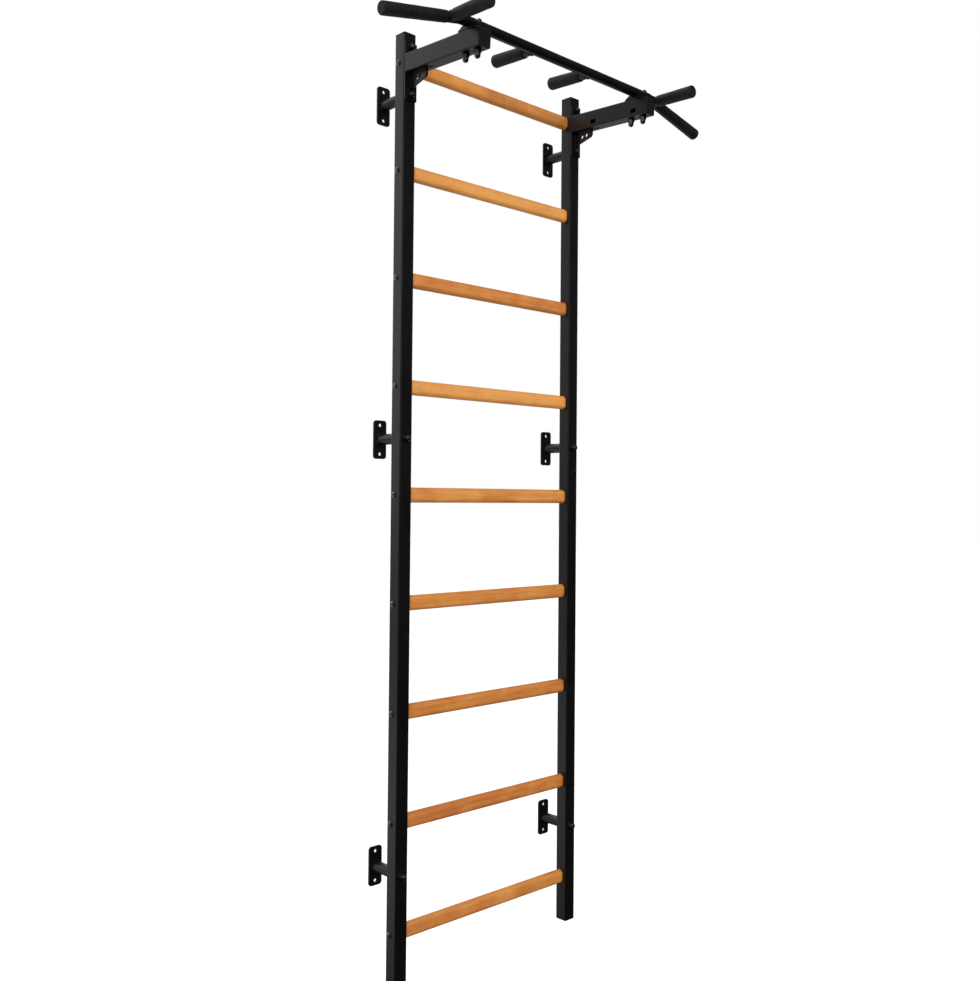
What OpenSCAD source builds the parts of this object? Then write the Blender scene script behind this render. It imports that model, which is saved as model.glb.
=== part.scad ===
// Wall-mounted gymnastic ladder with a bolted-on pull-up bar.
// Two square steel uprights carry nine wooden rungs, six brackets hold them off the wall, and two
// arms at the top carry a round bar with six foam grips.
// X runs along the rungs, +Y points to the wall and +Z up. Heights are measured from the foot of
// the uprights. The origin is on the wall, at the centre of the four middle wall bolts.

/* [Uprights] */
// Overall height, end caps included
frame_h = 2400; // [2200:10:2700]
// Overall width across both uprights
frame_w = 663; // [560:1:900]
// Side of the square upright tube
post_w = 38; // [32:1:50]
// Wall thickness of the upright tube
post_t = 2; // [1.5:0.5:3]
// Outer corner radius of the upright tube
post_r = 3.5; // [3.2:0.1:6]
// Thickness of the plastic cap that shows at each end
cap_t = 3; // [2:0.5:6]
// Depth of the plug that holds a cap in its tube
cap_plug = 14; // [8:1:25]

/* [Rungs] */
// Height of the lowest rung's centre above the foot
rung_low = 125; // [100:5:200]
// Drop of the top rung's centre below the top of the uprights
rung_top_drop = 75; // [50:5:100]
// Height of a rung's oval section
rung_h = 39; // [34:1:45]
// Depth of a rung's oval section, front to back
rung_d = 24; // [20:1:26]
// Distance of the rungs' axes behind the middle of the uprights
rung_back = 4.5; // [0:0.5:5]

/* [Rung screws] */
// Diameter of the screw that holds each rung end
screw_d = 8; // [6:0.5:9]
// Diameter of the screw's domed head
screw_head_d = 15; // [12:0.5:16]
// Height of the screw's domed head
screw_head_h = 4.4; // [2:0.1:5]
// Length of screw that bites into the rung
screw_bite = 42; // [30:1:60]
// Width of the hex key socket in a screw head
screw_key = 5; // [4:0.5:5]

/* [Wall brackets] */
// Height of the bottom brackets' bolts above the lowest rung
bracket_low_rise = 147; // [60:1:190]
// Height of the middle brackets' bolts above the rung under them
bracket_mid_rise = 143; // [60:1:190]
// Drop of the top brackets' bolts below the top of the uprights
bracket_top_drop = 160; // [157:1:166]
// Clear distance between the uprights and the wall plates
standoff = 69; // [50:1:120]
// Diameter of the round standoff tube
standoff_d = 28; // [24:1:30]
// Wall thickness of the standoff tube
standoff_t = 2.5; // [2:0.5:4]
// Thickness of the disc that closes a standoff tube at the upright
standoff_disc = 6; // [4:0.5:10]
// Width of a wall plate
plate_w = 40; // [38:1:60]
// Height of a wall plate
plate_h = 100; // [96:1:120]
// Thickness of a wall plate
plate_t = 5; // [4:0.5:8]
// Corner radius of a wall plate
plate_r = 8; // [4:0.5:12]
// Distance between a plate's two wall bolts
wall_bolt_pitch = 75; // [60:1:80]
// Diameter of a wall bolt hole
wall_hole_d = 9; // [7:0.5:11]

/* [Frame bolts] */
// Diameter of the bolts through the uprights
bolt_d = 10; // [8:0.5:11]
// Height of the low cap nuts on them
low_nut_h = 13.5; // [11:0.5:18]
// Radial clearance of bolts and screws in their holes
bolt_fit = 0.25; // [0.15:0.05:0.4]

/* [Arms] */
// Reach of an arm in front of its mounting plate
arm_len = 275; // [265:1:360]
// Height of the arm tube
arm_h = 48; // [44:1:52]
// Wall thickness of the arm tube
arm_t = 2; // [1.5:0.5:3]
// Drop of the arms' centre line below the top of the uprights, where they meet their plates
arm_drop = 81.5; // [80:0.5:84]
// Downward slope of the arms and of the whole bar unit towards the front, in degrees
arm_slope = 3; // [0:0.5:4]
// Thickness of the mounting plate between arm and upright
mount_t = 4; // [3:0.5:6]
// Distance between the mounting plate's two bolts
mount_bolt_pitch = 122; // [120:1:124]
// Plate above the upper bolt's centre
mount_above = 11; // [9:0.5:14]
// Plate below the lower bolt's centre
mount_below = 14; // [12:1:24]

/* [Gussets] */
// Thickness of the gusset plate under an arm
gusset_t = 6; // [4:0.5:10]
// Reach of the gusset in front of the mounting plate
gusset_len = 64; // [60:1:90]
// Depth of the gusset under the arm at the mounting plate
gusset_deep = 40; // [38:1:44]
// Depth of the gusset under the arm at its front end
gusset_shallow = 21; // [18:1:26]
// Diameter of the two accessory holes in a gusset
hook_hole_d = 10.5; // [8:0.5:12]
// Distance between the two accessory holes
hook_pitch = 16.5; // [16:0.5:20]
// Distance of the rear accessory hole from the mounting plate
hook_start = 25.5; // [22:0.5:28]

/* [Arm openings] */
// Length of the two openings in an arm's inner wall
key_hole_l = 18; // [10:0.5:22]
// Height of those openings
key_hole_h = 12; // [6:0.5:14]
// Height of their centres above the arm's underside
key_hole_z = 15; // [12:0.5:20]
// Distance of the first of them from the gusset's front edge
key_hole_gap = 19; // [14:0.5:30]
// Length of the slot in an arm's underside
drain_len = 22; // [14:1:26]
// Width of that slot
drain_w = 6; // [4:0.5:8]
// Gap between the gusset's front edge and the slot
drain_gap = 5; // [3:0.5:10]

/* [Bar saddles] */
// Distance from the bar's axis to the arm's front end
bar_to_end = 45; // [38:1:50]
// Length of saddle behind the bar's axis
saddle_back = 32; // [31:1:45]
// Thickness of the saddle's base and cheeks
saddle_t = 3; // [2:0.5:4]
// Height of the saddle's front ear above the arm
ear_front = 14; // [12:0.5:16]
// Height of the saddle's rear ear above the arm
ear_rear = 11; // [9:0.5:13]
// Height left of the front ear at the arm's end
ear_tip = 6; // [5:0.5:8]
// Gap between the saddle's base and the bar, which lies in the cheeks
bar_lift = 2; // [0.5:0.5:4]
// Distance between the two clamp studs of an arm
clamp_pitch = 42; // [41:0.5:46]
// Diameter of a clamp stud
clamp_d = 8; // [6:0.5:8]
// Width of a cap nut across its flats
cap_nut_w = 17; // [14:0.5:17]
// Diameter of a cap nut's crown
cap_crown_d = 15; // [12:0.5:15]
// Height of a cap nut
cap_nut_h = 20; // [15:0.5:24]
// Diameter of the washers under the cap nuts
washer_d = 20; // [20:0.5:21]
// Thickness of those washers
washer_t = 2; // [1:0.1:2.5]

/* [Pull-up bar] */
// Diameter of the bar and of the grip tubes
bar_d = 26; // [22:0.5:27]
// Wall thickness of the bar and of the grip tubes
bar_t = 2.5; // [1.5:0.5:3]
// Straight length of bar that sticks out past each arm before it bends
bar_past_arm = 16.5; // [6:0.5:20]
// Bend of the wings out of line with the bar, in degrees
wing_bend = 12; // [0.5:0.5:16]
// Turn of the bend from straight down towards the wall, in degrees
wing_back = 2; // [0:1:30]
// Radius of the bend on the tube's axis
wing_bend_r = 60; // [50:1:80]
// Straight length of a wing after its bend
wing_len = 224; // [190:1:300]
// Gap between weld seats and between grips and their tubes
fit = 0.3; // [0.2:0.05:0.4]

/* [Grips] */
// Gap between a wing's grip and the tube of the front grip beside it
wing_grip_gap = 2; // [1.5:0.5:30]
// Diameter of a wing's grip at its inner end
wing_root_d = 28.5; // [28:0.5:31]
// Diameter of a wing's grip at its free end
wing_end_d = 32; // [31:0.5:35]
// Diameter of a front or rear grip where it starts
grip_root_d = 31; // [29:0.5:33]
// Diameter of a front or rear grip at its free end
grip_end_d = 33.5; // [33:0.5:36]
// Thickness of the foam that closes a grip's free end
grip_end_t = 4; // [3:0.5:8]
// Rounding of a grip's free end
grip_edge = 3; // [1.5:0.5:4]
// Distance of each front grip's axis outside its arm
front_grip_out = 50.5; // [48:0.5:80]
// Upward tilt of the front grips against the arms, in degrees
front_grip_rise = 1; // [0:0.5:5]
// Upward tilt of the rear grips towards the wall against the arms, in degrees
rear_grip_rise = 1; // [0:0.5:5]
// Distance of each rear grip from the middle of the bar
rear_grip_x = 106.5; // [60:0.5:160]
// Start of a front grip, from the bar's axis
front_grip_start = 17; // [16:0.5:30]
// Free end of a front grip, from the bar's axis
front_grip_end = 136; // [110:1:170]
// Start of a rear grip, from the bar's axis
rear_grip_start = 30; // [18:1:40]
// Free end of a rear grip, from the bar's axis
rear_grip_end = 140; // [110:1:170]

/* [Hidden] */
$fn = 64;

LEFT = -1;
RIGHT = 1;
over = 1;                                   // how far a cut runs past the faces it opens
steel_black = "#26262a";
plastic_black = "#1c1c1e";
foam_black = "#2f2f31";
beech = "#c8863f";

// Uprights and rungs
rung_count = 9;
post_x = (frame_w - post_w) / 2;
rung_pitch = (frame_h - rung_top_drop - rung_low) / (rung_count - 1);
rung_len = frame_w - 2 * post_w;
screw_len = post_w + screw_bite;

// Wall brackets
bracket_low = rung_low + bracket_low_rise;
bracket_mid = rung_z(5) + bracket_mid_rise;
bracket_top = frame_h - bracket_top_drop;
wall_y = post_w / 2 + standoff + plate_t;
disc_grip = 8;                              // bolt end that shows inside a standoff tube

// Arms. The arm frame has its origin where an arm's centre line meets the mounting plate.
mount_y = -post_w / 2 - mount_t;
mount_low = bracket_top;
mount_high = bracket_top + mount_bolt_pitch;
arm_z = frame_h - arm_drop;
tube_len = arm_len - cap_t;
nut_h = 8;
hex = 2 / sqrt(3);                          // corner to corner over flat to flat

// Pull-up bar. The bar frame has its origin in the middle of the bar, on its axis.
bar_r = bar_d / 2;
bar_reach = arm_len - bar_to_end;
bar_rise = arm_h / 2 + saddle_t + bar_lift + bar_r;
bar_half = frame_w / 2 + bar_past_arm;
wing_x = bar_half + wing_bend_r * sin(wing_bend);
wing_drop = wing_bend_r * (1 - cos(wing_bend));
front_grip_x = frame_w / 2 + front_grip_out;
front_on_wing = (front_grip_x - wing_x) / cos(wing_bend);
wing_grip_start = front_on_wing + bar_r + wing_grip_gap;
wing_grip_len = wing_len + fit + grip_end_t - wing_grip_start;

// Puts the origin on the wall, at the middle wall bolts
module framed() {
    translate([0, -wall_y, -bracket_mid]) children();
}

module at_post(side) {
    translate([side * post_x, 0, 0]) children();
}

// Frame of an arm: -Y runs forward along the sloping arm
module arm_frame(side) {
    framed() at_post(side) translate([0, mount_y, arm_z]) rotate([arm_slope, 0, 0]) children();
}

// Frame of the bar unit, which slopes with the arms
module bar_frame() {
    framed() translate([0, mount_y, arm_z]) rotate([arm_slope, 0, 0])
        translate([0, -bar_reach, bar_rise]) children();
}

// Height of the arm's underside in front of the mounting plate, measured on the level
function arm_under(reach) = arm_z - arm_h / 2 / cos(arm_slope) - reach * tan(arm_slope);

// Upright oval with round ends
module oval(w, h) {
    square([w, h - w], center = true);
    for (y = [-1, 1]) translate([0, y * (h - w) / 2]) circle(d = w);
}

module rounded_rect(w, h, r) {
    square([w - 2 * r, h], center = true);
    square([w, h - 2 * r], center = true);
    for (x = [-1, 1], y = [-1, 1]) translate([x * (w / 2 - r), y * (h / 2 - r)]) circle(r);
}

module box_tube(w, h, t, r, len) {
    linear_extrude(len) difference() {
        rounded_rect(w, h, r);
        rounded_rect(w - 2 * t, h - 2 * t, r - t);
    }
}

// Spherical cap with its flat side on z = 0
module dome(d, h) {
    ball = (d * d / 4 + h * h) / (2 * h);
    intersection() {
        translate([0, 0, h - ball]) sphere(ball);
        cylinder(d = d, h = h);
    }
}

// Bolt along Z: the head stands on z = 0 and the shank runs down
module dome_bolt(d, head_d, head_h, len, key) {
    rim = head_h / 3;
    difference() {
        union() {
            translate([0, 0, rim]) dome(head_d, head_h - rim);
            cylinder(d = head_d, h = rim);
        }
        translate([0, 0, head_h / 2]) cylinder(d = key * hex, h = head_h, $fn = 6);
    }
    translate([0, 0, -len]) cylinder(d = d, h = len);
}

// Plastic cap for a rectangular tube: the head stands on z = 0 and the plug hangs below it
module tube_cap(w, h, t, r) {
    linear_extrude(cap_t) rounded_rect(w, h, r);
    translate([0, 0, -cap_plug]) linear_extrude(cap_plug)
        rounded_rect(w - 2 * (t + fit), h - 2 * (t + fit), r - t);
}

module upright(side) {
    color(steel_black) framed() at_post(side) difference() {
        translate([0, 0, cap_t]) box_tube(post_w, post_w, post_t, post_r, frame_h - 2 * cap_t);
        for (n = [1 : rung_count]) rung_hole(n);
        for (z = [bracket_low, bracket_mid, mount_low, mount_high]) frame_bolt_hole(z);
    }
}

// Screw hole through both side walls of an upright
module rung_hole(n) {
    translate([-post_w / 2 - over, rung_back, rung_z(n)]) rotate([0, 90, 0])
        cylinder(d = screw_d + 2 * bolt_fit, h = post_w + 2 * over);
}

// Bolt hole through the front and back walls of an upright
module frame_bolt_hole(z) {
    translate([0, post_w / 2 + over, z]) rotate([90, 0, 0])
        cylinder(d = bolt_d + 2 * bolt_fit, h = post_w + mount_t + 2 * over);
}

// Rungs are counted from the top
function rung_z(n) = frame_h - rung_top_drop - (n - 1) * rung_pitch;

module top_cap(side) {
    color(plastic_black) framed() at_post(side) translate([0, 0, frame_h - cap_t])
        tube_cap(post_w, post_w, post_t, post_r);
}

module foot_cap(side) {
    color(plastic_black) framed() at_post(side) translate([0, 0, cap_t]) mirror([0, 0, 1])
        tube_cap(post_w, post_w, post_t, post_r);
}

module rung(n) {
    color(beech) framed() translate([0, rung_back, rung_z(n)]) difference() {
        translate([-rung_len / 2, 0, 0]) rotate([90, 0, 90]) linear_extrude(rung_len)
            oval(rung_d, rung_h);
        for (side = [LEFT, RIGHT]) translate([side * rung_len / 2, 0, 0])
            rotate([0, -side * 90, 0]) translate([0, 0, -over])
                cylinder(d = screw_d + 2 * bolt_fit, h = screw_bite + over + bolt_fit);
    }
}

module rung_screws(side) {
    color(steel_black) framed() for (n = [1 : rung_count])
        translate([side * frame_w / 2, rung_back, rung_z(n)]) rotate([0, side * 90, 0])
            dome_bolt(screw_d, screw_head_d, screw_head_h, screw_len, screw_key);
}

// Wall plate, standoff tube and its end disc, welded into one piece
module wall_bracket(side, z) {
    color(steel_black) framed() at_post(side) translate([0, wall_y, z]) rotate([90, 0, 0])
        difference() {
            union() {
                linear_extrude(plate_t) rounded_rect(plate_w, plate_h, plate_r);
                cylinder(d = standoff_d, h = plate_t + standoff);
            }
            translate([0, 0, plate_t])
                cylinder(d = standoff_d - 2 * standoff_t, h = standoff - standoff_disc);
            translate([0, 0, plate_t + over])
                cylinder(d = bolt_d + 2 * bolt_fit, h = standoff);
            for (y = [-1, 1]) translate([0, y * wall_bolt_pitch / 2, -over])
                cylinder(d = wall_hole_d, h = plate_t + 2 * over);
        }
}

// Bolts through the upright into the middle and bottom brackets
module bracket_bolts(side) {
    color(steel_black) framed() at_post(side) for (z = [bracket_low, bracket_mid])
        translate([0, -post_w / 2, z]) rotate([90, 0, 0])
            capped_bolt(post_w + standoff_disc + disc_grip, washer_t);
}

module arm_plate(side) {
    color(steel_black) framed() at_post(side) difference() {
        translate([-post_w / 2, mount_y, mount_low - mount_below])
            cube([post_w, mount_t, mount_bolt_pitch + mount_below + mount_above]);
        for (z = [mount_low, mount_high]) frame_bolt_hole(z);
    }
}

// Lower bolt shared with the top wall bracket, upper bolt with a nut behind the upright
module arm_bolts(side) {
    color(steel_black) framed() at_post(side) {
        translate([0, mount_y, mount_low]) rotate([90, 0, 0])
            capped_bolt(mount_t + post_w + standoff_disc + disc_grip, 0);
        translate([0, mount_y, mount_high]) rotate([90, 0, 0])
            capped_bolt(mount_t + post_w + nut_h, 0);
        translate([0, post_w / 2 + nut_h, mount_high]) rotate([90, 0, 0]) hex_nut(bolt_d, nut_h);
    }
}

module hex_nut(d, h) {
    difference() {
        cylinder(d = 1.7 * d * hex, h = h, $fn = 6);
        translate([0, 0, -over]) cylinder(d = d, h = h + 2 * over);
    }
}

// Side walls of the arm lie in line with the upright's, and its rear end is cut to the plate
module arm_tube(side) {
    color(steel_black) difference() {
        arm_frame(side) difference() {
            translate([0, arm_h * sin(arm_slope), 0]) rotate([90, 0, 0])
                box_tube(post_w, arm_h, arm_t, post_r, tube_len + arm_h * sin(arm_slope));
            for (y = [gusset_len + key_hole_gap, bar_reach])
                translate([-side * (post_w / 2 - arm_t / 2), -y, key_hole_z - arm_h / 2])
                    cube([arm_t + 2 * over, key_hole_l, key_hole_h], center = true);
            translate([0, -gusset_len - drain_gap - drain_len / 2, -arm_h / 2])
                linear_extrude(2 * arm_t + over, center = true) oval(drain_w, drain_len);
            for (y = [-1, 1]) translate([0, y * clamp_pitch / 2 - bar_reach, -arm_h / 2 - over])
                cylinder(d = clamp_d + 2 * bolt_fit, h = arm_h + 2 * over);
        }
        framed() at_post(side) translate([-post_w, mount_y, arm_z - arm_h])
            cube([2 * post_w, arm_h, 2 * arm_h]);
    }
}

module arm_gusset(side) {
    front = arm_under(gusset_len);
    color(steel_black) framed() at_post(side) translate([-gusset_t / 2, mount_y, 0])
        rotate([90, 0, 90]) linear_extrude(gusset_t) difference() {
            polygon([[0, arm_under(0)], [0, arm_under(0) - gusset_deep],
                [-gusset_len * 0.93, front - gusset_shallow],
                [-gusset_len, front - gusset_shallow * 0.7], [-gusset_len, front]]);
            for (reach = [hook_start, hook_start + hook_pitch]) translate([-reach, hook_z(reach)])
                circle(d = hook_hole_d);
        }
}

// The accessory holes lie half way down the gusset
function hook_z(reach) = arm_under(reach)
    - (gusset_deep + (gusset_shallow - gusset_deep) * reach / gusset_len) / 2;

module arm_cap(side) {
    color(plastic_black) arm_frame(side) translate([0, -tube_len, 0]) rotate([90, 0, 0])
        tube_cap(post_w, arm_h, arm_t, post_r);
}

// Base plate and two cheeks that cradle the bar, welded into one piece
module bar_saddle(side) {
    inner = post_w - 2 * saddle_t;
    color(steel_black) arm_frame(side) translate([0, -bar_reach, arm_h / 2]) difference() {
        rotate([90, 0, 90]) translate([0, 0, -post_w / 2]) linear_extrude(post_w) difference() {
            polygon([[saddle_back, 0], [saddle_back, saddle_t * 0.5], [bar_r + 4, ear_rear],
                [0, ear_rear], [0, ear_front], [-bar_r - 15, ear_front], [-bar_to_end, ear_tip],
                [-bar_to_end, 0]]);
            translate([0, bar_rise - arm_h / 2]) circle(bar_r + fit);
        }
        translate([-inner / 2, -bar_to_end - over, saddle_t])
            cube([inner, bar_to_end + saddle_back + 2 * over, ear_front]);
        for (y = [-1, 1]) translate([0, y * clamp_pitch / 2, -over])
            cylinder(d = clamp_d + 2 * bolt_fit, h = saddle_t + 2 * over);
    }
}

module at_clamps(side) {
    arm_frame(side) translate([0, -bar_reach, 0]) for (y = [-1, 1])
        translate([0, y * clamp_pitch / 2, 0]) children();
}

// Two studs hold each saddle down, one in front of the bar and one behind it. The upper cap nut
// and washer are one piece with the stud.
module clamp_studs(side) {
    color(steel_black) at_clamps(side) translate([0, 0, arm_h / 2 + saddle_t]) {
        cap_nut();
        translate([0, 0, -arm_h - saddle_t - washer_t - cap_nut_h / 3])
            cylinder(d = clamp_d, h = arm_h + saddle_t + washer_t + cap_nut_h / 3);
    }
}

// Washers and cap nuts under the arm
module clamp_nuts(side) {
    color(steel_black) at_clamps(side) translate([0, 0, -arm_h / 2]) mirror([0, 0, 1])
        difference() {
            cap_nut();
            translate([0, 0, -over])
                cylinder(d = clamp_d + 2 * bolt_fit, h = washer_t + cap_nut_h / 2 + over);
        }
}

// Domed nut on its washer, standing on z = 0; thick is the washer's thickness or 0 for no washer
module cap_nut(high = cap_nut_h, thick = washer_t) {
    step = high / 3;
    if (thick > 0) cylinder(d = washer_d, h = thick);
    translate([0, 0, thick]) {
        cylinder(d = cap_nut_w * hex, h = step, $fn = 6);
        cylinder(d = cap_crown_d, h = 2 * step);
        translate([0, 0, 2 * step]) dome(cap_crown_d - fit, step);
    }
}

// Threaded rod behind z = 0 with a low cap nut in front; nut and rod are one piece
module capped_bolt(len, thick) {
    cap_nut(low_nut_h, thick);
    translate([0, 0, -len]) cylinder(d = bolt_d, h = len + thick + low_nut_h / 3);
}

module round_tube(len) {
    difference() {
        cylinder(r = bar_r, h = len);
        translate([0, 0, -over]) cylinder(r = bar_r - bar_t, h = len + 2 * over);
    }
}

module main_bar() {
    color(steel_black) bar_frame() translate([-bar_half, 0, 0]) rotate([0, 90, 0])
        round_tube(2 * bar_half);
}

// Frame at the end of a wing's bend, with +Z running out along the wing
module wing_frame(side) {
    bar_frame() mirror([side == LEFT ? 1 : 0, 0, 0]) rotate([wing_back, 0, 0])
        translate([wing_x, 0, -wing_drop]) rotate([0, 90 + wing_bend, 0]) children();
}

// Bend and straight end of the bar outside an arm
module wing_tube(side) {
    color(steel_black) wing_frame(side) {
        translate([wing_bend_r, 0, 0]) rotate([-90, 0, 180]) rotate_extrude(angle = wing_bend)
            translate([wing_bend_r, 0]) difference() {
                circle(bar_r);
                circle(bar_r - bar_t);
            }
        round_tube(wing_len);
    }
}

// Frame on a wing's axis where its front grip branches off, with +Z running out along the grip
module front_frame(side) {
    drop = wing_drop + front_on_wing * sin(wing_bend);
    bar_frame() mirror([side == LEFT ? 1 : 0, 0, 0])
        translate([front_grip_x, drop * sin(wing_back), -drop * cos(wing_back)])
            rotate([90 - front_grip_rise, 0, 0]) children();
}

module front_tube(side) {
    color(steel_black) difference() {
        front_frame(side) round_tube(front_grip_end - grip_end_t - fit);
        wing_frame(side) cylinder(r = bar_r + fit, h = wing_len);
    }
}

// Frame on the bar's axis where a rear grip branches off, with +Z running out along the grip
module rear_frame(side) {
    bar_frame() translate([side * rear_grip_x, 0, 0]) rotate([rear_grip_rise - 90, 0, 0]) children();
}

module rear_tube(side) {
    color(steel_black) difference() {
        rear_frame(side) round_tube(rear_grip_end - grip_end_t - fit);
        bar_frame() translate([-bar_half, 0, 0]) rotate([0, 90, 0])
            cylinder(r = bar_r + fit, h = 2 * bar_half);
    }
}

// Foam grip along +Z, closed at its free end and tapering from that end to its root
module foam_grip(root_d, end_d, len) {
    end_r = end_d / 2;
    color(foam_black) rotate_extrude() difference() {
        union() {
            polygon([[0, 0], [root_d / 2, 0], [end_r, len - grip_edge], [end_r - grip_edge, len],
                [0, len]]);
            translate([end_r - grip_edge, len - grip_edge]) circle(grip_edge);
        }
        translate([-over, -over]) square([bar_r + fit + over, len - grip_end_t + over]);
    }
}

module wing_grip(side) {
    wing_frame(side) translate([0, 0, wing_grip_start]) foam_grip(wing_root_d, wing_end_d, wing_grip_len);
}

module front_grip(side) {
    front_frame(side) translate([0, 0, front_grip_start])
        foam_grip(grip_root_d, grip_end_d, front_grip_end - front_grip_start);
}

module rear_grip(side) {
    rear_frame(side) translate([0, 0, rear_grip_start])
        foam_grip(grip_root_d, grip_end_d, rear_grip_end - rear_grip_start);
}

upright(LEFT);  // upright_left
upright(RIGHT);  // upright_right
top_cap(LEFT);  // top_cap_left
top_cap(RIGHT);  // top_cap_right
foot_cap(LEFT);  // foot_cap_left
foot_cap(RIGHT);  // foot_cap_right
rung(1);  // rung_1
rung(2);  // rung_2
rung(3);  // rung_3
rung(4);  // rung_4
rung(5);  // rung_5
rung(6);  // rung_6
rung(7);  // rung_7
rung(8);  // rung_8
rung(9);  // rung_9
rung_screws(LEFT);  // rung_screws_left
rung_screws(RIGHT);  // rung_screws_right
wall_bracket(LEFT, bracket_low);  // wall_bracket_low_left
wall_bracket(RIGHT, bracket_low);  // wall_bracket_low_right
wall_bracket(LEFT, bracket_mid);  // wall_bracket_mid_left
wall_bracket(RIGHT, bracket_mid);  // wall_bracket_mid_right
wall_bracket(LEFT, bracket_top);  // wall_bracket_top_left
wall_bracket(RIGHT, bracket_top);  // wall_bracket_top_right
bracket_bolts(LEFT);  // bracket_bolts_left
bracket_bolts(RIGHT);  // bracket_bolts_right
arm_plate(LEFT);  // arm_plate_left
arm_plate(RIGHT);  // arm_plate_right
arm_tube(LEFT);  // arm_tube_left
arm_tube(RIGHT);  // arm_tube_right
arm_gusset(LEFT);  // arm_gusset_left
arm_gusset(RIGHT);  // arm_gusset_right
arm_cap(LEFT);  // arm_cap_left
arm_cap(RIGHT);  // arm_cap_right
arm_bolts(LEFT);  // arm_bolts_left
arm_bolts(RIGHT);  // arm_bolts_right
bar_saddle(LEFT);  // bar_saddle_left
bar_saddle(RIGHT);  // bar_saddle_right
clamp_studs(LEFT);  // clamp_studs_left
clamp_studs(RIGHT);  // clamp_studs_right
clamp_nuts(LEFT);  // clamp_nuts_left
clamp_nuts(RIGHT);  // clamp_nuts_right
main_bar();
wing_tube(LEFT);  // wing_tube_left
wing_tube(RIGHT);  // wing_tube_right
front_tube(LEFT);  // front_tube_left
front_tube(RIGHT);  // front_tube_right
rear_tube(LEFT);  // rear_tube_left
rear_tube(RIGHT);  // rear_tube_right
wing_grip(LEFT);  // wing_grip_left
wing_grip(RIGHT);  // wing_grip_right
front_grip(LEFT);  // front_grip_left
front_grip(RIGHT);  // front_grip_right
rear_grip(LEFT);  // rear_grip_left
rear_grip(RIGHT);  // rear_grip_right
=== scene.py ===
# Wall-mounted gymnastic ladder with a bolted-on pull-up bar: black powder-coated steel, nine beech
# rungs and six foam grips. Metres, +Y to the wall and +Z up, with the origin on the wall at the
# middle brackets.
import math

import bmesh
import bpy
from mathutils import Matrix, Vector


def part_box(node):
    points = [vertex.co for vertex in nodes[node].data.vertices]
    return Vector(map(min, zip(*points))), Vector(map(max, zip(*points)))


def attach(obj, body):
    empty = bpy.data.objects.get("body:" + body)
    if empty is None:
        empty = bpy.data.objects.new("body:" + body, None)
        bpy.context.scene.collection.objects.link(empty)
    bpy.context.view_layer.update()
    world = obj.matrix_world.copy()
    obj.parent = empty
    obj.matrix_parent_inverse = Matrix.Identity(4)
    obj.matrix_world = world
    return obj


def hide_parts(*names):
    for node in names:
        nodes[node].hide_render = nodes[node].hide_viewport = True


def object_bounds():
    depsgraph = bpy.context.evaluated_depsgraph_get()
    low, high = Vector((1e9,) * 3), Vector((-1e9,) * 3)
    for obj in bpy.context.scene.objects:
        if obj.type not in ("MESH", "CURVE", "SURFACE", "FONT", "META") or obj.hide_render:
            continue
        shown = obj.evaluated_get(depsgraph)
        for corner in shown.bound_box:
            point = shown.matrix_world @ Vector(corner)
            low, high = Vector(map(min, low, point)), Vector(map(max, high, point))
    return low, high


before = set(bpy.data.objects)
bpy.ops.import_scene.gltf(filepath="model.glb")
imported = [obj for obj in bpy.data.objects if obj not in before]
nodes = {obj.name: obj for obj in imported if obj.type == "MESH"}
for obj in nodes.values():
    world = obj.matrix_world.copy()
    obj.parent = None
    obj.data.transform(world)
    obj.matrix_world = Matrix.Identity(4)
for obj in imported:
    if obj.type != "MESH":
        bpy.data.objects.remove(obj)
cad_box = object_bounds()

MM = 0.001
BODY = "root"
scene = bpy.context.scene


# ---- Studio -------------------------------------------------------------------------------------
# A camera at chest height to the front left, in front of a white background that runs into a pale
# floor, with a large soft lamp over the camera's left shoulder and a dim room behind the camera.
CAMERA_PLACE = Vector((-1.9952, -2.1970, -0.1478))
CAMERA_TURN = math.radians(43.443)      # from +Y towards +X
CAMERA_RISE = math.radians(1.372)
CAMERA_ROLL = math.radians(0.485)
CAMERA_LENS = 38.906
CAMERA_SHIFT = -0.01868

look = Vector((math.sin(CAMERA_TURN) * math.cos(CAMERA_RISE),
               math.cos(CAMERA_TURN) * math.cos(CAMERA_RISE), math.sin(CAMERA_RISE)))
level_right = Vector((math.cos(CAMERA_TURN), -math.sin(CAMERA_TURN), 0))
level_up = level_right.cross(look)
right = level_right * math.cos(CAMERA_ROLL) + level_up * math.sin(CAMERA_ROLL)
up = level_up * math.cos(CAMERA_ROLL) - level_right * math.sin(CAMERA_ROLL)

camera = bpy.data.objects.new("camera", bpy.data.cameras.new("camera"))
scene.collection.objects.link(camera)
camera.data.lens = CAMERA_LENS
camera.data.shift_y = CAMERA_SHIFT
camera.matrix_world = Matrix.Translation(CAMERA_PLACE) @ Matrix((
    (right.x, up.x, -look.x, 0), (right.y, up.y, -look.y, 0), (right.z, up.z, -look.z, 0),
    (0, 0, 0, 1)))
scene.camera = camera
scene.view_settings.view_transform = "Standard"


def linear(code):
    """An sRGB hex colour as the linear RGBA that a shader socket takes."""
    parts = [int(code[i:i + 2], 16) / 255 for i in (1, 3, 5)]
    return [c / 12.92 if c <= 0.04045 else ((c + 0.055) / 1.055) ** 2.4 for c in parts] + [1]


def add(tree, kind, settings=None, **links):
    """Adds a node, sets its properties, and fills or links its inputs by their names."""
    node = tree.nodes.new(kind)
    for name, value in (settings or {}).items():
        setattr(node, name, value)
    for name, value in links.items():
        key = int(name[1:]) if name[0] == "_" and name[1:].isdigit() else name.replace("_", " ")
        socket = node.inputs[key]
        if isinstance(value, bpy.types.NodeSocket):
            tree.links.new(value, socket)
        else:
            socket.default_value = value
    return node


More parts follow.
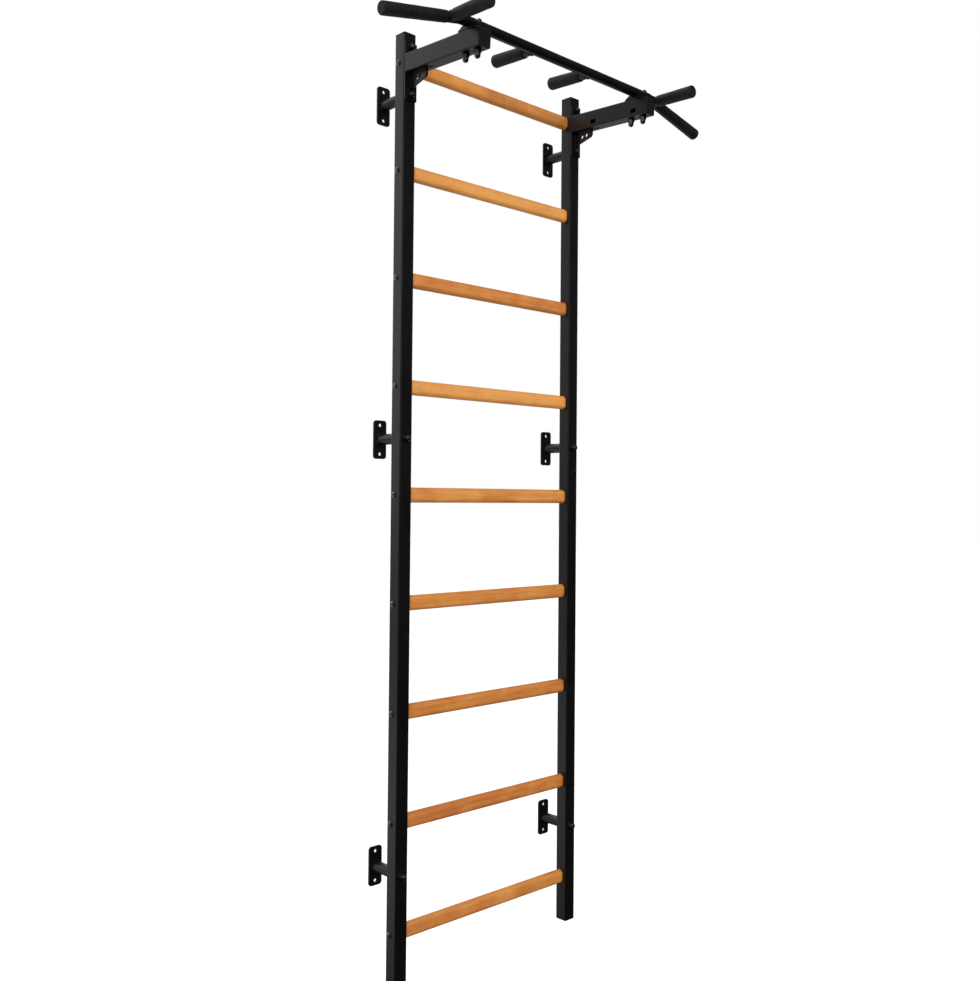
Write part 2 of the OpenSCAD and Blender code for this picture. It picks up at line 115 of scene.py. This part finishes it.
def soft_lamp(name, place, target, size, watts, in_gloss=True):
    """A square lamp that faces its target; in_gloss tells whether surfaces mirror it."""
    lamp = bpy.data.objects.new(name, bpy.data.lights.new(name, "AREA"))
    lamp.data.size = size
    lamp.data.energy = watts
    lamp.location = place
    lamp.rotation_mode = "QUATERNION"
    lamp.rotation_quaternion = (Vector(place) - Vector(target)).to_track_quat("Z", "Y")
    lamp.visible_glossy = in_gloss
    scene.collection.objects.link(lamp)


LAMP_TARGET = (0, -0.1, 0)
KEY_PLACE = (-3.4, -3.6, 2.6)
KEY_SIZE = 2.6
FILL_PLACE = (2.2, -3.4, 1.2)
FILL_SIZE = 2.4
# Two thirds of the key light are mirrored and one third isn't, so edges and domes shine softly
soft_lamp("key_lamp", KEY_PLACE, LAMP_TARGET, KEY_SIZE, 70, in_gloss=False)
soft_lamp("sheen_lamp", KEY_PLACE, LAMP_TARGET, KEY_SIZE, 140)
soft_lamp("fill_lamp", FILL_PLACE, LAMP_TARGET, FILL_SIZE, 60, in_gloss=False)

world = bpy.data.worlds.new("white_studio")
scene.world = world
world.use_nodes = True
tree = world.node_tree
tree.nodes.clear()
# Mirrored rays that leave in front of the object meet a dim room. Those that pass behind it meet
# the white background, which is brightest straight behind and darkens to the sides and below.
BACKDROP_HALF = math.radians(30)        # full brightness up to this angle from +Y
BACKDROP_END = math.radians(56)         # no brightness from this angle on
BACKDROP_GLOW = 1.26
GLOSS_TINT = (1, 0.96, 1, 1)            # gives the black steel its faint purple cast
direction = add(tree, "ShaderNodeTexCoord").outputs["Generated"]
way = add(tree, "ShaderNodeSeparateXYZ", Vector=direction).outputs
aside = add(tree, "ShaderNodeMath", {"operation": "ABSOLUTE"}, _0=way["X"]).outputs[0]
turn = add(tree, "ShaderNodeMath", {"operation": "ARCTAN2"}, _0=aside, _1=way["Y"]).outputs[0]
behind = add(tree, "ShaderNodeMapRange", {"interpolation_type": "SMOOTHSTEP"}, Value=turn,
             From_Min=BACKDROP_HALF, From_Max=BACKDROP_END, To_Min=BACKDROP_GLOW,
             To_Max=0.0).outputs["Result"]
height = add(tree, "ShaderNodeMapRange", Value=way["Z"], From_Min=-0.4, From_Max=0.4, To_Min=0.85,
             To_Max=1.02).outputs["Result"]
ahead = add(tree, "ShaderNodeMapRange", Value=way["Z"], From_Min=-0.3, From_Max=0.35, To_Min=0.008,
            To_Max=0.09).outputs["Result"]
glare = add(tree, "ShaderNodeMath", {"operation": "MULTIPLY_ADD"}, _0=behind, _1=height,
            _2=ahead).outputs[0]
path = add(tree, "ShaderNodeLightPath").outputs
mirrored = add(tree, "ShaderNodeMath", {"operation": "MAXIMUM"}, _0=path["Is Glossy Ray"],
               _1=path["Is Transmission Ray"]).outputs[0]
room = add(tree, "ShaderNodeBackground", Color=(1.0, 0.98, 0.95, 1), Strength=0.55).outputs[0]
backdrop = add(tree, "ShaderNodeBackground", Color=GLOSS_TINT, Strength=glare).outputs[0]
white = add(tree, "ShaderNodeBackground", Color=(1, 1, 1, 1), Strength=1.0).outputs[0]
seen = add(tree, "ShaderNodeMixShader", _0=mirrored, _1=room, _2=backdrop).outputs[0]
seen = add(tree, "ShaderNodeMixShader", _0=path["Is Camera Ray"], _1=seen, _2=white).outputs[0]
add(tree, "ShaderNodeOutputWorld", Surface=seen)

# The floor is a plain pale surface well below the feet of the hanging frame
FLOOR_DROP = 0.45
FLOOR_HALF = 40                         # far enough to run past every edge of the view
FLOOR_GLOW = 0.78                       # with its own light it runs into the white background
floor_height = cad_box[0].z - FLOOR_DROP
shape = bmesh.new()
bmesh.ops.create_grid(shape, x_segments=1, y_segments=1, size=FLOOR_HALF)
bmesh.ops.translate(shape, verts=shape.verts, vec=(0, 0, floor_height))
floor = bpy.data.objects.new("floor", bpy.data.meshes.new("floor"))
shape.to_mesh(floor.data)
shape.free()
scene.collection.objects.link(floor)
pale = bpy.data.materials.new("pale_floor_paint")
pale.use_nodes = True
tree = pale.node_tree
tree.nodes.clear()
path = add(tree, "ShaderNodeLightPath").outputs
paint = add(tree, "ShaderNodeBsdfDiffuse", Color=linear("#c8c8c8")).outputs[0]
glow = add(tree, "ShaderNodeEmission", Color=(1, 1, 1, 1), Strength=FLOOR_GLOW).outputs[0]
lit = add(tree, "ShaderNodeAddShader", _0=paint, _1=glow).outputs[0]
shown = add(tree, "ShaderNodeMixShader", _0=path["Is Camera Ray"], _1=paint, _2=lit).outputs[0]
# Mirrored in the object, it is dim in front of it, bright some way behind it and dim again beyond
place = add(tree, "ShaderNodeTexCoord").outputs["Object"]
depth = add(tree, "ShaderNodeSeparateXYZ", Vector=place).outputs["Y"]
near = add(tree, "ShaderNodeMapRange", {"interpolation_type": "SMOOTHSTEP"}, Value=depth, From_Min=-0.3,
           From_Max=2.2, To_Min=0.015, To_Max=0.75).outputs["Result"]
far = add(tree, "ShaderNodeMapRange", {"interpolation_type": "SMOOTHSTEP"}, Value=depth, From_Min=3.0,
          From_Max=6.0, To_Min=1.0, To_Max=0.33).outputs["Result"]
gleam = add(tree, "ShaderNodeMath", {"operation": "MULTIPLY"}, _0=near, _1=far).outputs[0]
gleam = add(tree, "ShaderNodeEmission", Color=GLOSS_TINT, Strength=gleam).outputs[0]
mirrored = add(tree, "ShaderNodeMath", {"operation": "MAXIMUM"}, _0=path["Is Glossy Ray"],
               _1=path["Is Transmission Ray"]).outputs[0]
shown = add(tree, "ShaderNodeMixShader", _0=mirrored, _1=shown, _2=gleam).outputs[0]
add(tree, "ShaderNodeOutputMaterial", Surface=shown)
floor.data.materials.append(pale)


# ---- Uprights -----------------------------------------------------------------------------------
# Two square tubes of mild steel with a matte black polyester powder coat, baked to a fine orange
# peel. They are drilled through for the rung screws and the bracket bolts.
def finish_of(name):
    """A new material; returns it with its node tree and its Principled shader."""
    made = bpy.data.materials.new(name)
    made.use_nodes = True
    return made, made.node_tree, made.node_tree.nodes["Principled BSDF"]


powder_coat, tree, shader = finish_of("black_powder_coat")
place = add(tree, "ShaderNodeTexCoord").outputs["Object"]
# Orange peel is about 1 mm across; drawn at 3 mm, the finest that shows
peel = add(tree, "ShaderNodeTexNoise", Vector=place, Scale=1 / (3 * MM), Detail=2.0).outputs["Fac"]
# Handling and dust change the sheen in patches about a hand wide
patches = add(tree, "ShaderNodeTexNoise", Vector=place, Scale=1 / (90 * MM), Detail=3.0).outputs["Fac"]
tone = add(tree, "ShaderNodeMapRange", Value=patches, From_Min=0.3, From_Max=0.7).outputs["Result"]
colour = add(tree, "ShaderNodeMix", {"data_type": "RGBA"}, _0=tone, _6=linear("#080708"),
             _7=linear("#0c0b0c")).outputs[2]
tree.links.new(colour, shader.inputs["Base Color"])
rough = add(tree, "ShaderNodeMapRange", Value=patches, From_Min=0.3, From_Max=0.7, To_Min=0.34,
            To_Max=0.37).outputs["Result"]
tree.links.new(rough, shader.inputs["Roughness"])
bump = add(tree, "ShaderNodeBump", Height=peel, Strength=0.1, Distance=0.1 * MM).outputs[0]
tree.links.new(bump, shader.inputs["Normal"])

EASE_FROM = math.radians(35)            # edges sharper than this are rounded
FLAT_WITHIN = math.radians(0.3)         # faces this close to one plane are joined


def add_piece(name, shape, made, slot, *stands_for):
    """Makes an object of a bmesh, with flat faces and smooth roundings, fixed to the frame."""
    mesh = bpy.data.meshes.new(name)
    shape.to_mesh(mesh)
    shape.free()
    mesh.shade_smooth()
    mesh.set_sharp_from_angle(angle=EASE_FROM)
    mesh.materials.append(made)
    piece = bpy.data.objects.new(name, mesh)
    scene.collection.objects.link(piece)
    flats = piece.modifiers.new("flat_faces", "WEIGHTED_NORMAL")
    flats.weight = 50
    flats.keep_sharp = True
    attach(piece, BODY)
    if stands_for:
        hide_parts(*stands_for)
    return piece


def ease(node, rounding, made, slot):
    """Stands a copy of a CAD solid in for it, with its edges rounded as the made part's are."""
    shape = bmesh.new()
    shape.from_mesh(nodes[node].data)
    bmesh.ops.remove_doubles(shape, verts=shape.verts, dist=0.001 * MM)
    bmesh.ops.dissolve_limit(shape, angle_limit=FLAT_WITHIN, verts=shape.verts, edges=shape.edges)
    sharp = [e for e in shape.edges if e.is_manifold and e.calc_face_angle() > EASE_FROM]
    bmesh.ops.bevel(shape, geom=sharp, offset=rounding, segments=2, profile=0.5, affect="EDGES",
                    material=-1, clamp_overlap=True)
    return add_piece(node + "_finished", shape, made, slot, node)


for side in ("left", "right"):
    ease("upright_" + side, 0.4 * MM, powder_coat, "powder_coat")


# ---- End caps -----------------------------------------------------------------------------------
# Push-in caps of black polypropylene close both ends of the uprights and the front of the arms.
# Moulding leaves them a fine even grain and softly rounded rims.
black_plastic, tree, shader = finish_of("moulded_black_polypropylene")
place = add(tree, "ShaderNodeTexCoord").outputs["Object"]
# The mould's spark-eroded grain is 0.3 mm; drawn at 1.5 mm
grain = add(tree, "ShaderNodeTexNoise", Vector=place, Scale=1 / (1.5 * MM), Detail=1.0).outputs["Fac"]
colour = add(tree, "ShaderNodeMix", {"data_type": "RGBA"}, _0=grain, _6=linear("#0e0e0f"),
             _7=linear("#151516")).outputs[2]
tree.links.new(colour, shader.inputs["Base Color"])
shader.inputs["Roughness"].default_value = 0.5
bump = add(tree, "ShaderNodeBump", Height=grain, Strength=0.25, Distance=0.05 * MM).outputs[0]
tree.links.new(bump, shader.inputs["Normal"])
for side in ("left", "right"):
    for cap in ("top_cap_", "foot_cap_", "arm_cap_"):
        ease(cap + side, 0.9 * MM, black_plastic, "black_plastic")


# ---- Rungs --------------------------------------------------------------------------------------
# Nine oval rungs planed from steamed beech and clear lacquered. The grain and the short rays run
# along each rung, and each comes from another plank, so their tones differ.
RUNGS = 9
RUNG_TONES = (0.45, 0.9, 0.25, 0.95, 0.6, 0.45, 0.25, 0.2, 0.5)      # 0 is reddish brown, 1 golden
top_rung = (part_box("rung_1")[0].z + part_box("rung_1")[1].z) / 2
low_rung = (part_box("rung_9")[0].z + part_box("rung_9")[1].z) / 2
rung_pitch = (top_rung - low_rung) / (RUNGS - 1)

beech, tree, shader = finish_of("lacquered_steamed_beech")
place = add(tree, "ShaderNodeTexCoord").outputs["Object"]
level = add(tree, "ShaderNodeSeparateXYZ", Vector=place).outputs["Z"]
count = add(tree, "ShaderNodeMapRange", Value=level, From_Min=low_rung - rung_pitch / 2,
            From_Max=top_rung + rung_pitch / 2).outputs["Result"]
planks = add(tree, "ShaderNodeValToRGB", Fac=count)
planks.color_ramp.interpolation = "CONSTANT"
for n, tone in enumerate(reversed(RUNG_TONES)):
    stop = planks.color_ramp.elements[0] if n == 0 else planks.color_ramp.elements.new(n / RUNGS)
    stop.color = (tone, tone, tone, 1)
planks.color_ramp.elements.remove(planks.color_ramp.elements[-1])
# Growth rings cut lengthwise show as bands about 8 mm wide and far longer
along = add(tree, "ShaderNodeMapping", Vector=place, Scale=(1 / 14, 1, 1)).outputs["Vector"]
rings = add(tree, "ShaderNodeTexNoise", Vector=along, Scale=1 / (8 * MM), Detail=3.0,
            Distortion=0.8).outputs["Fac"]
# The lacquered surface mottles in clouds of about 70 mm
clouds = add(tree, "ShaderNodeTexNoise", Vector=place, Scale=1 / (70 * MM), Detail=2.0).outputs["Fac"]
mottle = add(tree, "ShaderNodeMath", {"operation": "ADD"}, _0=rings, _1=clouds).outputs[0]
shift = add(tree, "ShaderNodeMapRange", Value=mottle, From_Min=0.6, From_Max=1.4, To_Min=-0.45,
            To_Max=0.45).outputs["Result"]
shade = add(tree, "ShaderNodeMath", {"operation": "ADD", "use_clamp": True}, _0=planks.outputs[0],
            _1=shift).outputs[0]
wood = add(tree, "ShaderNodeMix", {"data_type": "RGBA"}, _0=shade, _6=linear("#b4682a"),
           _7=linear("#d49247")).outputs[2]
# Beech is flecked with short dark rays, about 0.5 mm by 4 mm; drawn at 1.6 mm by 13 mm
flecked = add(tree, "ShaderNodeMapping", Vector=place, Scale=(1 / 8, 1, 1)).outputs["Vector"]
rays = add(tree, "ShaderNodeTexNoise", Vector=flecked, Scale=1 / (1.6 * MM), Detail=1.0).outputs["Fac"]
fleck = add(tree, "ShaderNodeMapRange", Value=rays, From_Min=0.62, From_Max=0.75, To_Min=0.0,
            To_Max=0.35).outputs["Result"]
wood = add(tree, "ShaderNodeMix", {"data_type": "RGBA"}, _0=fleck, _6=wood,
           _7=linear("#8e5428")).outputs[2]
tree.links.new(wood, shader.inputs["Base Color"])
gloss = add(tree, "ShaderNodeMapRange", Value=rings, From_Min=0.3, From_Max=0.7, To_Min=0.34,
            To_Max=0.46).outputs["Result"]
tree.links.new(gloss, shader.inputs["Roughness"])
bump = add(tree, "ShaderNodeBump", Height=rings, Strength=0.15, Distance=0.2 * MM).outputs[0]
tree.links.new(bump, shader.inputs["Normal"])
for n in range(1, RUNGS + 1):
    ease(f"rung_{n}", 1.2 * MM, beech, "beech")


# ---- Screws, bolts and nuts ---------------------------------------------------------------------
# Domed socket screws at the rungs, and bolts with domed cap nuts at the brackets, arms and bar. All
# are steel with a black zinc plating, which keeps a dull metallic shine and looks a little lighter
# where a spanner or key has rubbed it.
black_zinc, tree, shader = finish_of("black_zinc_plated_steel")
place = add(tree, "ShaderNodeTexCoord").outputs["Object"]
rubbed = add(tree, "ShaderNodeTexNoise", Vector=place, Scale=1 / (6 * MM), Detail=2.0).outputs["Fac"]
colour = add(tree, "ShaderNodeMix", {"data_type": "RGBA"}, _0=rubbed, _6=linear("#6c6a6e"),
             _7=linear("#8a888c")).outputs[2]
tree.links.new(colour, shader.inputs["Base Color"])
shader.inputs["Metallic"].default_value = 1.0
rough = add(tree, "ShaderNodeMapRange", Value=rubbed, From_Min=0.3, From_Max=0.7, To_Min=0.22,
            To_Max=0.3).outputs["Result"]
tree.links.new(rough, shader.inputs["Roughness"])
for side in ("left", "right"):
    for group in ("rung_screws_", "bracket_bolts_", "arm_bolts_", "clamp_studs_", "clamp_nuts_"):
        ease(group + side, 0.4 * MM, black_zinc, "black_bolt")


# ---- Wall brackets ------------------------------------------------------------------------------
# Each bracket is a 5 mm plate, cut with round corners, with a standoff tube welded to its face.
# The weld is a fillet of overlapping pools, and the powder coat runs over it.
PLATE = 5 * MM
TUBE_R = 14 * MM
POOL = 2.5 * MM                         # from one weld pool to the next
PER_POOL = 4                            # rings of the bead to a pool
STEP = POOL / PER_POOL
RIPPLE = 0.12                           # share by which the bead swells at each pool
BRACKET_BEAD = 2.2 * MM


def weld(shape, path, centre, size, closed=True):
    """Lays a rippled bead of radius size along a path; centre lies inside the path's bend."""
    count = len(path)
    ends = []
    for n, spot in enumerate(path):
        before = path[n - 1] if closed or n else spot
        after = path[(n + 1) % count] if closed or n < count - 1 else spot
        run = (after - before).normalized()
        out = spot - centre
        out = (out - run * out.dot(run)).normalized()
        turn = Matrix((out, run.cross(out), run)).transposed().to_4x4()
        swell = size * (1 + RIPPLE * math.cos(math.tau * n / PER_POOL))
        ring = bmesh.ops.create_circle(shape, cap_ends=not closed and n in (0, count - 1), segments=8,
                                       radius=swell, matrix=Matrix.Translation(spot) @ turn)["verts"]
        ends.append({e for v in ring for e in v.link_edges})
    for n in range(count if closed else count - 1):
        bmesh.ops.bridge_loops(shape, edges=list(ends[n] | ends[(n + 1) % count]))
    bmesh.ops.recalc_face_normals(shape, faces=shape.faces)


def circle_path(centre, radius):
    """Points round a circle that faces along Y, a quarter of a weld pool apart."""
    count = PER_POOL * round(math.tau * radius / POOL)
    turns = [math.tau * n / count for n in range(count)]
    return [centre + Vector((math.cos(turn), 0, math.sin(turn))) * radius for turn in turns]


for level in ("low", "mid", "top"):
    for side in ("left", "right"):
        bracket = f"wall_bracket_{level}_{side}"
        ease(bracket, 0.8 * MM, powder_coat, "powder_coat")
        low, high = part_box(bracket)
        middle = (low + high) / 2
        foot = Vector((middle.x, high.y - PLATE - 1.2 * MM, middle.z))
        shape = bmesh.new()
        weld(shape, circle_path(foot, TUBE_R + 0.8 * MM), foot, BRACKET_BEAD)
        add_piece(bracket + "_weld", shape, powder_coat, "powder_coat")


# ---- Arms ---------------------------------------------------------------------------------------
# Rectangular tubes welded to flat mounting plates, each with a laser-cut gusset under it. The
# welds run across the top and the underside of the arm and down both sides of the gusset.
ARM_SLOPE = math.radians(3)
ARM_HIGH = 48 * MM
GUSSET = 6 * MM
GUSSET_LONG = 64 * MM
GUSSET_DEEP = 40 * MM
ARM_BEAD = 2.0 * MM
ARM_BEAD_HALF = 15.5 * MM               # the bead stops short of the arm's round corners
GUSSET_BEAD = 1.7 * MM

for side in ("left", "right"):
    for part, rounding in (("arm_plate_", 0.8), ("arm_tube_", 0.4), ("arm_gusset_", 0.8)):
        ease(part + side, rounding * MM, powder_coat, "powder_coat")
    gusset_low, gusset_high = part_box("arm_gusset_" + side)
    middle = (gusset_low.x + gusset_high.x) / 2
    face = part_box("arm_plate_" + side)[0].y         # front of the mounting plate
    under = gusset_high.z                           # arm's underside at the plate
    over = under + ARM_HIGH / math.cos(ARM_SLOPE)
    shape = bmesh.new()
    half = ARM_BEAD_HALF
    for height, lift in ((over, 0.4), (under, -0.6)):
        for start, end in ((-half, half),) if lift > 0 else ((-half, -GUSSET), (GUSSET, half)):
            steps = round((end - start) / STEP)
            path = [Vector((middle + start + (end - start) * n / steps, face - 0.6 * MM,
                            height + lift * MM)) for n in range(steps + 1)]
            weld(shape, path, Vector((middle, 0, height)), ARM_BEAD, closed=False)
    for flank in (-1, 1):
        off = middle + flank * (GUSSET / 2 + 0.4 * MM)
        corner = Vector((off, face - 0.4 * MM, under - GUSSET_DEEP + 2 * MM))
        top = Vector((off, face - 0.4 * MM, under - 1 * MM))
        tip = Vector((off, face - GUSSET_LONG + 2 * MM,
                      under - 0.4 * MM - GUSSET_LONG * math.tan(ARM_SLOPE)))
        for start, end in ((corner, top), (top, tip)):
            steps = round((end - start).length / STEP)
            path = [start.lerp(end, n / steps) for n in range(steps + 1)]
            weld(shape, path, Vector((middle - flank * MM, face, under)), GUSSET_BEAD, closed=False)
    add_piece("arm_welds_" + side, shape, powder_coat, "powder_coat")


# ---- Bar saddles --------------------------------------------------------------------------------
# Folded steel channels on the arms that cradle the bar between their ears, with rounded edges.
for side in ("left", "right"):
    ease("bar_saddle_" + side, 0.5 * MM, powder_coat, "powder_coat")


# ---- Bar unit -----------------------------------------------------------------------------------
# A round tube bent down a little outside the arms, with four short tubes welded on for the grips.
# Each joint is a saddle-shaped weld all round, and the unit is powder coated as one.
BAR_R = 13 * MM
WING_BEND = math.radians(12)
WING_BACK = math.radians(2)
BAR_HALF = 348 * MM
BEND_R = 60 * MM
FRONT_X = 382 * MM
FRONT_RISE = math.radians(1)
REAR_X = 106.5 * MM
REAR_RISE = math.radians(1)
GRIP_TUBE_BEAD = 1.9 * MM
wing_x = BAR_HALF + BEND_R * math.sin(WING_BEND)
wing_drop = BEND_R * (1 - math.cos(WING_BEND))
front_on_wing = (FRONT_X - wing_x) / math.cos(WING_BEND)
front_drop = wing_drop + front_on_wing * math.sin(WING_BEND)
bar_low, bar_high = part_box("main_bar")
bar_place = Matrix.Translation((bar_low + bar_high) / 2) @ Matrix.Rotation(ARM_SLOPE, 4, "X")


def wing_place(side):
    """Frame at the end of a wing's bend, with +Z along the wing."""
    return (bar_place @ Matrix.Scale(side, 4, (1, 0, 0)) @ Matrix.Rotation(WING_BACK, 4, "X")
            @ Matrix.Translation((wing_x, 0, -wing_drop))
            @ Matrix.Rotation(math.pi / 2 + WING_BEND, 4, "Y"))


def front_place(side):
    """Frame of a front grip on the wing's axis, with +Z along the grip."""
    return (bar_place @ Matrix.Scale(side, 4, (1, 0, 0))
            @ Matrix.Translation((FRONT_X, front_drop * math.sin(WING_BACK),
                                  -front_drop * math.cos(WING_BACK)))
            @ Matrix.Rotation(math.pi / 2 - FRONT_RISE, 4, "X"))


def rear_place(side):
    """Frame of a rear grip on the bar's axis, with +Z along the grip."""
    return bar_place @ Matrix.Translation((side * REAR_X, 0, 0)) \
        @ Matrix.Rotation(REAR_RISE - math.pi / 2, 4, "X")


def branch_path(place, across):
    """The curve where a branch along the frame's Z leaves a tube of the same size along across."""
    ahead = place.to_3x3().col[2].normalized()
    along = (across - ahead * across.dot(ahead)).normalized()
    aside = ahead.cross(along)
    main = BAR_R + 1.0 * MM
    branch = BAR_R + 0.4 * MM
    count = PER_POOL * round(math.tau * 1.2 * BAR_R / POOL)
    return [place.translation + (along * math.cos(turn) + aside * math.sin(turn)) * branch
            + ahead * math.sqrt(main ** 2 - (branch * math.sin(turn)) ** 2)
            for turn in (math.tau * n / count for n in range(count))]


for node in ("main_bar", "wing_tube_left", "wing_tube_right", "front_tube_left", "front_tube_right",
             "rear_tube_left", "rear_tube_right"):
    ease(node, 0.2 * MM, powder_coat, "powder_coat")
for name, side in (("left", -1), ("right", 1)):
    joints = (("front", front_place(side), wing_place(side).to_3x3().col[2].normalized()),
              ("rear", rear_place(side), Vector((1, 0, 0))))
    for grip, place, across in joints:
        shape = bmesh.new()
        ahead = place.to_3x3().col[2].normalized()
        weld(shape, branch_path(place, across), place.translation + ahead * BAR_R * 0.7,
             GRIP_TUBE_BEAD)
        add_piece(f"{grip}_tube_weld_{name}", shape, powder_coat, "powder_coat")


# ---- Grips --------------------------------------------------------------------------------------
# Six sleeves of black nitrile foam, pushed on with air and closed at their free ends. They swell
# towards that end, and their skin is matte, with fine open pores and shallow finger dents.
foam, tree, shader = finish_of("black_nitrile_foam")
place = add(tree, "ShaderNodeTexCoord").outputs["Object"]
dust = add(tree, "ShaderNodeTexNoise", Vector=place, Scale=1 / (25 * MM), Detail=3.0).outputs["Fac"]
tone = add(tree, "ShaderNodeMapRange", Value=dust, From_Min=0.3, From_Max=0.7).outputs["Result"]
colour = add(tree, "ShaderNodeMix", {"data_type": "RGBA"}, _0=tone, _6=linear("#121113"),
             _7=linear("#19181a")).outputs[2]
tree.links.new(colour, shader.inputs["Base Color"])
shader.inputs["Roughness"].default_value = 0.6
shader.inputs["Specular IOR Level"].default_value = 0.4
# The pores are 0.4 mm; drawn at 1.6 mm
pores = add(tree, "ShaderNodeTexVoronoi", Vector=place, Scale=1 / (1.6 * MM)).outputs["Distance"]
bump = add(tree, "ShaderNodeBump", Height=pores, Strength=0.35, Distance=0.15 * MM).outputs[0]
tree.links.new(bump, shader.inputs["Normal"])

BORE = 13.3 * MM
GRIP_END_T = 4 * MM
WING_GAP = 2 * MM                       # from the front grip's tube to the wing's grip
WING_END = 228.3 * MM
WING_ROOT_R = 14.25 * MM
WING_END_R = 16 * MM
FRONT_START = 17 * MM
FRONT_END = 136 * MM
REAR_START = 30 * MM
REAR_END = 140 * MM
GRIP_ROOT_R = 15.5 * MM
GRIP_END_R = 16.75 * MM
DENT = 0.12 * MM
DENT_RUN = 9 * MM                       # length over which the dents wind round by one radian


def grip(name, place, start, end, root_r, end_r):
    """A foam sleeve along the frame's Z, from start to end, replacing the CAD grip of that name."""
    long = end - start
    lip = 1.6 * MM
    edge = 4 * MM
    section = [(0, long - GRIP_END_T), (BORE, long - GRIP_END_T), (BORE, 0), (root_r - lip, 0)]
    for n in range(1, 5):                           # rounded lip at the root
        turn = math.radians(22.5 * n)
        section.append((root_r - lip + lip * math.sin(turn), lip - lip * math.cos(turn)))
    steps = 12
    for n in range(1, steps):                       # taper, with a faint swell
        reach = n / steps
        section.append((root_r + (end_r - root_r) * reach ** 0.8, lip + (long - edge - lip) * reach))
    for n in range(7):                              # rounded free end
        turn = math.radians(15 * n)
        section.append((end_r - edge + edge * math.cos(turn), long - edge + edge * math.sin(turn)))
    section.append((0, long))
    shape = bmesh.new()
    line = [shape.verts.new((r, 0, z)) for r, z in section]
    edges = [shape.edges.new(pair) for pair in zip(line, line[1:])]
    bmesh.ops.spin(shape, geom=line + edges, cent=(0, 0, 0), axis=(0, 0, 1), angle=math.tau, steps=48,
                   use_merge=True, use_duplicate=False)
    bmesh.ops.remove_doubles(shape, verts=shape.verts, dist=0.01 * MM)
    for vert in shape.verts:                        # finger dents, fading out at both ends
        if vert.co.xy.length > BORE * 1.05 and 0 < vert.co.z < long:
            turn = math.atan2(vert.co.y, vert.co.x)
            fade = math.sin(math.pi * vert.co.z / long)
            dent = DENT * fade * (math.sin(3 * turn + vert.co.z / DENT_RUN) - 1)
            vert.co.xy += vert.co.xy.normalized() * dent
    bmesh.ops.transform(shape, matrix=place @ Matrix.Translation((0, 0, start)), verts=shape.verts)
    bmesh.ops.recalc_face_normals(shape, faces=shape.faces)
    add_piece(name + "_foam", shape, foam, "foam", name)


wing_start = front_on_wing + BAR_R + WING_GAP
for name, side in (("left", -1), ("right", 1)):
    grip("wing_grip_" + name, wing_place(side), wing_start, WING_END, WING_ROOT_R, WING_END_R)
    grip("front_grip_" + name, front_place(side), FRONT_START, FRONT_END, GRIP_ROOT_R, GRIP_END_R)
    grip("rear_grip_" + name, rear_place(side), REAR_START, REAR_END, GRIP_ROOT_R, GRIP_END_R)
